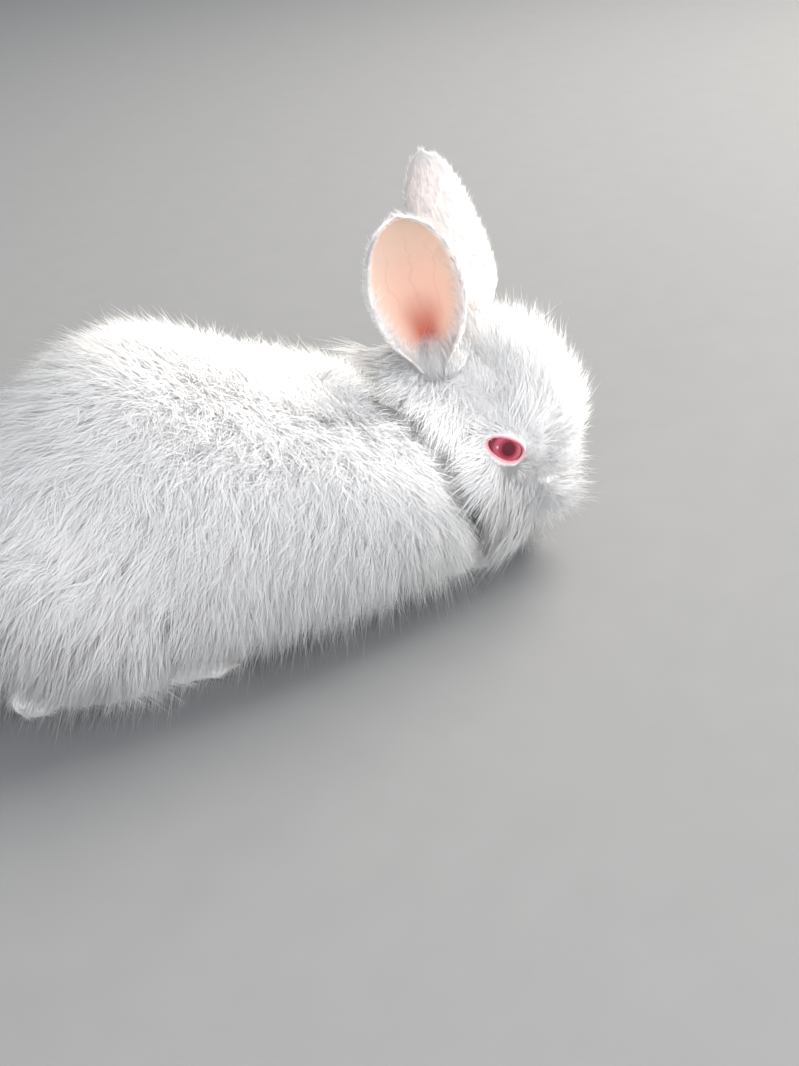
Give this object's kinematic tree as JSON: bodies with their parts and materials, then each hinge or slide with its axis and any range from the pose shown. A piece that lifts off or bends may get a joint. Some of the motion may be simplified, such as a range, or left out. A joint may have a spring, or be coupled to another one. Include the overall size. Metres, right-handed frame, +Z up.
{
  "type": "angora rabbit kit",
  "caption": "Life-size still model of a young white angora rabbit, crouched on flat soles with its head low and turned, its ears up and a long soft coat.",
  "frame": {"origin": "on the floor, under the middle of the model's outline box", "axes": "+X from the rump to the chest, +Y to the rabbit's left, +Z up"},
  "size_m": [0.2152, 0.1026, 0.1318],
  "materials": {
    "coat": "soft matt white fur",
    "ear_skin": "thin pink skin under short white fur",
    "eye": "glossy ruby"
  },
  "bodies": {
    "root": {"torso": "coat", "neck": "coat", "head": "coat", "tail": "coat", "haunch_left": "coat", "haunch_right": "coat", "hind_foot_left": "coat", "hind_foot_right": "coat", "foreleg_left": "coat", "foreleg_right": "coat", "ear_left": "ear_skin", "ear_right": "ear_skin", "eye_left": "eye", "eye_right": "eye"}
  },
  "joints": []
}
